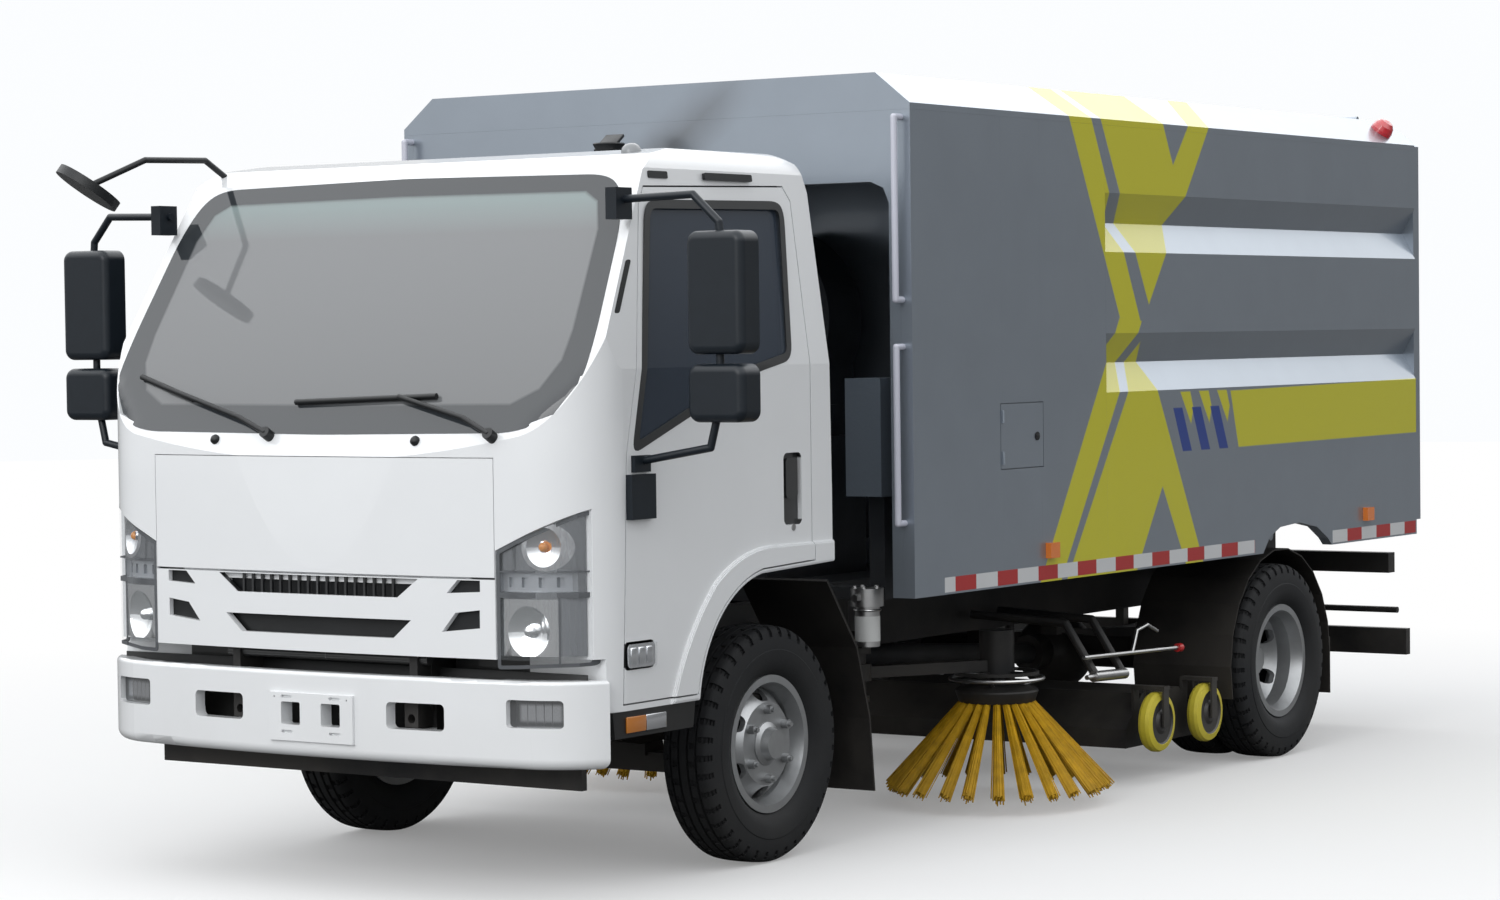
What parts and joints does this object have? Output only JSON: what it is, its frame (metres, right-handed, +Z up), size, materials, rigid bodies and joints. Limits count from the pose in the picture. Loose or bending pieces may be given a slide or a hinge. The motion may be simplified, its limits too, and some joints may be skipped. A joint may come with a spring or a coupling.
{
  "type": "street sweeper truck",
  "caption": "Cab-over street sweeper truck: tipping hopper with a rear door, side brooms on swinging arms, suction nozzle on casters and steered front wheels.",
  "frame": {"origin": "on the road under the middle of the bounding box", "axes": "+Z up, the truck drives towards -Y, its left side is +X"},
  "size_m": [2.744, 5.8897, 2.583],
  "materials": {
    "white_paint": "clean semi-gloss cab paint",
    "body_grey_paint": "semi-gloss paint with yellow and blue stripes",
    "chassis_black": "satin chassis paint with road dust",
    "rim_silver": "silver wheel paint",
    "tyre_rubber": "dull black rubber",
    "caster_rubber": "yellow solid rubber on a black hub",
    "tinted_glass": "tinted safety glass with a dark border",
    "clear_lens": "clear lamp lens",
    "lamp_reflector": "bright reflector in a grey housing",
    "black_plastic": "grained black moulding",
    "grille_paint": "body colour with black slots",
    "seat_cloth": "woven seat cloth",
    "dash_plastic": "grained dark grey moulding",
    "mirror_black": "black housings with mirror faces",
    "engine_cast": "painted engine castings",
    "steel": "bare steel",
    "rod_chrome": "ground and plated rod",
    "lamp_red": "red, amber and clear lamp covers",
    "bristle": "yellow bristle tufts on a dark plate",
    "guard_plastic": "black mudguard moulding",
    "handle_paint": "pale painted tube",
    "door_grey": "grey paint"
  },
  "bodies": {
    "chassis": {"chassis_frame": "chassis_black", "front_axle": "chassis_black", "rear_axle": "chassis_black", "driveline": "engine_cast", "front_bumper": "white_paint", "road_lamps": "lamp_red", "underrun_guards": "chassis_black", "mudguards": "guard_plastic", "aux_engine": "engine_cast", "filter_unit": "steel", "fuel_tank": "chassis_black", "suction_duct": "chassis_black"},
    "cab": {"cab_shell": "white_paint", "cab_glass": "tinted_glass", "grille": "grille_paint", "headlamps": "lamp_reflector", "headlamp_lenses": "clear_lens", "wipers": "black_plastic", "dashboard": "dash_plastic", "seats": "seat_cloth", "front_mirror": "mirror_black", "cab_steps": "black_plastic"},
    "door_left_body": {"door_left": "white_paint", "door_glass_left": "tinted_glass", "mirror_left": "mirror_black"},
    "door_right_body": {"door_right": "white_paint", "door_glass_right": "tinted_glass", "mirror_right": "mirror_black"},
    "front_lid_body": {"front_lid": "white_paint"},
    "steering_wheel_body": {"steering_wheel": "dash_plastic"},
    "knuckle_left_body": {"knuckle_left": "chassis_black"},
    "knuckle_right_body": {"knuckle_right": "chassis_black"},
    "tie_rod_body": {"tie_rod": "steel"},
    "wheel_front_left": {"tyre_front_left": "tyre_rubber", "rim_front_left": "rim_silver"},
    "wheel_front_right": {"tyre_front_right": "tyre_rubber", "rim_front_right": "rim_silver"},
    "wheels_rear_left": {"tyres_rear_left": "tyre_rubber", "rims_rear_left": "rim_silver"},
    "wheels_rear_right": {"tyres_rear_right": "tyre_rubber", "rims_rear_right": "rim_silver"},
    "hopper": {"hopper_shell": "body_grey_paint", "hopper_lamps": "lamp_red", "grab_handles": "handle_paint"},
    "access_door_body": {"access_door": "door_grey"},
    "rear_door_body": {"rear_door": "door_grey"},
    "lift_barrels_body": {"lift_barrels": "chassis_black"},
    "lift_rods_body": {"lift_rods": "rod_chrome"},
    "nozzle_body": {"nozzle": "chassis_black"},
    "caster_front_left_body": {"caster_front_left": "caster_rubber"},
    "caster_front_right_body": {"caster_front_right": "caster_rubber"},
    "caster_rear_left_body": {"caster_rear_left": "caster_rubber"},
    "caster_rear_right_body": {"caster_rear_right": "caster_rubber"},
    "broom_post_left_body": {"broom_post_left": "chassis_black"},
    "broom_post_right_body": {"broom_post_right": "chassis_black"},
    "broom_arm_left_body": {"broom_arm_left": "chassis_black"},
    "broom_arm_right_body": {"broom_arm_right": "chassis_black"},
    "broom_left_body": {"broom_left": "bristle"},
    "broom_right_body": {"broom_right": "bristle"}
  },
  "joints": [
    {"name": "cab_tilt", "type": "hinge", "parent": "chassis", "child": "cab", "pos_m": [0, -2.865, 0.73], "axis": [1, 0, 0], "range_deg": [0, 45]},
    {"name": "door_left_hinge", "type": "hinge", "parent": "cab", "child": "door_left_body", "pos_m": [0.984, -2.679, 1], "axis": [0, 0, -1], "range_deg": [0, 65]},
    {"name": "door_right_hinge", "type": "hinge", "parent": "cab", "child": "door_right_body", "pos_m": [-0.984, -2.679, 1], "axis": [0, 0, 1], "range_deg": [0, 65]},
    {"name": "front_lid_hinge", "type": "hinge", "parent": "cab", "child": "front_lid_body", "pos_m": [0, -2.919, 1.3405], "axis": [-1, 0, 0], "range_deg": [0, 60]},
    {"name": "steering_wheel_turn", "type": "hinge", "parent": "cab", "child": "steering_wheel_body", "pos_m": [0.45, -2.495, 1.345], "axis": [0, 0.6947, 0.7193], "range_deg": [-630, 630]},
    {"name": "steer_left", "type": "hinge", "parent": "chassis", "child": "knuckle_left_body", "pos_m": [0.612, -1.695, 0.382], "axis": [0, 0, 1], "range_deg": [-35, 35]},
    {"name": "steer_right", "type": "hinge", "parent": "chassis", "child": "knuckle_right_body", "pos_m": [-0.612, -1.695, 0.382], "axis": [0, 0, 1], "range_deg": [-35, 35]},
    {"name": "tie_rod_pivot", "type": "hinge", "parent": "knuckle_left_body", "child": "tie_rod_body", "pos_m": [0.59, -1.53, 0.286], "axis": [0, 0, 1], "range_deg": [-35, 35]},
    {"name": "wheel_front_left_spin", "type": "hinge", "parent": "knuckle_left_body", "child": "wheel_front_left", "pos_m": [0.768, -1.695, 0.382], "axis": [1, 0, 0], "continuous": true},
    {"name": "wheel_front_right_spin", "type": "hinge", "parent": "knuckle_right_body", "child": "wheel_front_right", "pos_m": [-0.768, -1.695, 0.382], "axis": [1, 0, 0], "continuous": true},
    {"name": "wheels_rear_left_spin", "type": "hinge", "parent": "chassis", "child": "wheels_rear_left", "pos_m": [0.829, 1.665, 0.382], "axis": [1, 0, 0], "continuous": true},
    {"name": "wheels_rear_right_spin", "type": "hinge", "parent": "chassis", "child": "wheels_rear_right", "pos_m": [-0.829, 1.665, 0.382], "axis": [1, 0, 0], "continuous": true},
    {"name": "hopper_tip", "type": "hinge", "parent": "chassis", "child": "hopper", "pos_m": [0, 2.85, 0.8], "axis": [-1, 0, 0], "range_deg": [0, 45]},
    {"name": "access_door_hinge", "type": "hinge", "parent": "hopper", "child": "access_door_body", "pos_m": [1.07, -0.594, 1.336], "axis": [0, 0, -1], "range_deg": [0, 110]},
    {"name": "rear_door_hinge", "type": "hinge", "parent": "hopper", "child": "rear_door_body", "pos_m": [0, 2.871, 2.57], "axis": [1, 0, 0], "range_deg": [0, 80]},
    {"name": "lift_swing", "type": "hinge", "parent": "chassis", "child": "lift_barrels_body", "pos_m": [0, 2.505, 0.6], "axis": [-1, 0, 0], "range_deg": [0, 50.3]},
    {"name": "lift_stroke", "type": "slide", "parent": "lift_barrels_body", "child": "lift_rods_body", "axis": [0, -0.9467, 0.3221], "range_m": [0, 0.294]},
    {"name": "nozzle_lift", "type": "slide", "parent": "chassis", "child": "nozzle_body", "axis": [0, 0, -1], "range_m": [0, 0.115]},
    {"name": "caster_front_left_spin", "type": "hinge", "parent": "nozzle_body", "child": "caster_front_left_body", "pos_m": [0.985, 0.681, 0.232], "axis": [1, 0, 0], "continuous": true},
    {"name": "caster_rear_left_spin", "type": "hinge", "parent": "nozzle_body", "child": "caster_rear_left_body", "pos_m": [0.985, 1.073, 0.232], "axis": [1, 0, 0], "continuous": true},
    {"name": "broom_swing_left", "type": "hinge", "parent": "chassis", "child": "broom_post_left_body", "pos_m": [0.455, -0.555, 0.6], "axis": [0, 0, -1], "range_deg": [0, 30]},
    {"name": "broom_lower_left", "type": "slide", "parent": "broom_post_left_body", "child": "broom_arm_left_body", "axis": [0, 0, -1], "range_m": [0, 0.045]},
    {"name": "broom_spin_left", "type": "hinge", "parent": "broom_arm_left_body", "child": "broom_left_body", "pos_m": [0.745, -0.085, 0.4], "axis": [0, 0, 1], "continuous": true},
    {"name": "caster_front_right_spin", "type": "hinge", "parent": "nozzle_body", "child": "caster_front_right_body", "pos_m": [-0.985, 0.681, 0.232], "axis": [1, 0, 0], "continuous": true},
    {"name": "caster_rear_right_spin", "type": "hinge", "parent": "nozzle_body", "child": "caster_rear_right_body", "pos_m": [-0.985, 1.073, 0.232], "axis": [1, 0, 0], "continuous": true},
    {"name": "broom_swing_right", "type": "hinge", "parent": "chassis", "child": "broom_post_right_body", "pos_m": [-0.455, -0.555, 0.6], "axis": [0, 0, 1], "range_deg": [0, 30]},
    {"name": "broom_lower_right", "type": "slide", "parent": "broom_post_right_body", "child": "broom_arm_right_body", "axis": [0, 0, -1], "range_m": [0, 0.045]},
    {"name": "broom_spin_right", "type": "hinge", "parent": "broom_arm_right_body", "child": "broom_right_body", "pos_m": [-0.745, -0.085, 0.4], "axis": [0, 0, 1], "continuous": true}
  ],
  "couplings": [
    {"joint": "steer_right", "follows": "steer_left", "ratio": 1},
    {"joint": "steering_wheel_turn", "follows": "steer_left", "ratio": 18},
    {"joint": "tie_rod_pivot", "follows": "steer_left", "ratio": -1},
    {"joint": "lift_swing", "follows": "hopper_tip", "ratio": 1.1178},
    {"joint": "lift_stroke", "follows": "hopper_tip", "m_per_rad": 0.37404}
  ]
}
